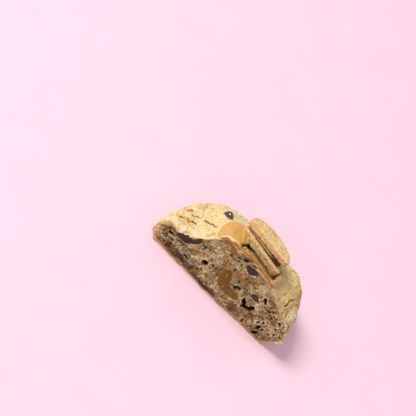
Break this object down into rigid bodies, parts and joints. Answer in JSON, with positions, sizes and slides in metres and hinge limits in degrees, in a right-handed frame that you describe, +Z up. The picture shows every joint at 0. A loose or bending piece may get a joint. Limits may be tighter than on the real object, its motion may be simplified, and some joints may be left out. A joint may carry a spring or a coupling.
{
  "type": "speculoos cookie",
  "caption": "Half of a thick, domed bakery cookie, cut to show crumb and chocolate, topped with caramelised-biscuit spread and half a sandwich biscuit.",
  "frame": {"origin": "centre of the footprint's bounding box, at the height of the flat base", "axes": "+X along the straight cut edge, to the right when facing the cut; +Y away from the cut face, to the domed back; +Z up from the flat base"},
  "size_m": [0.1062, 0.0552, 0.0554],
  "materials": {
    "dough": "golden baked crust outside, mottled brown crumb on the cut",
    "chocolate": "dark chocolate with a soft sheen",
    "caramel": "reddish brown, slightly glossy",
    "filling": "smooth tan brown paste",
    "spread": "smooth, glossy, slightly see-through amber paste",
    "biscuit": "dry, fine-grained baked biscuit",
    "cream": "soft greyish tan cream"
  },
  "bodies": {
    "root": {"cookie_half": "dough", "choc_chunk_left": "chocolate", "choc_chunk_upper": "chocolate", "choc_chunk_middle": "chocolate", "choc_chunk_lower": "chocolate", "choc_streak_base": "chocolate", "caramel_bit": "caramel", "core_filling": "filling", "choc_chip_top": "chocolate", "spread_top": "spread", "biscuit_wafer_lower": "biscuit", "biscuit_cream": "cream", "biscuit_wafer_upper": "biscuit"}
  },
  "joints": []
}
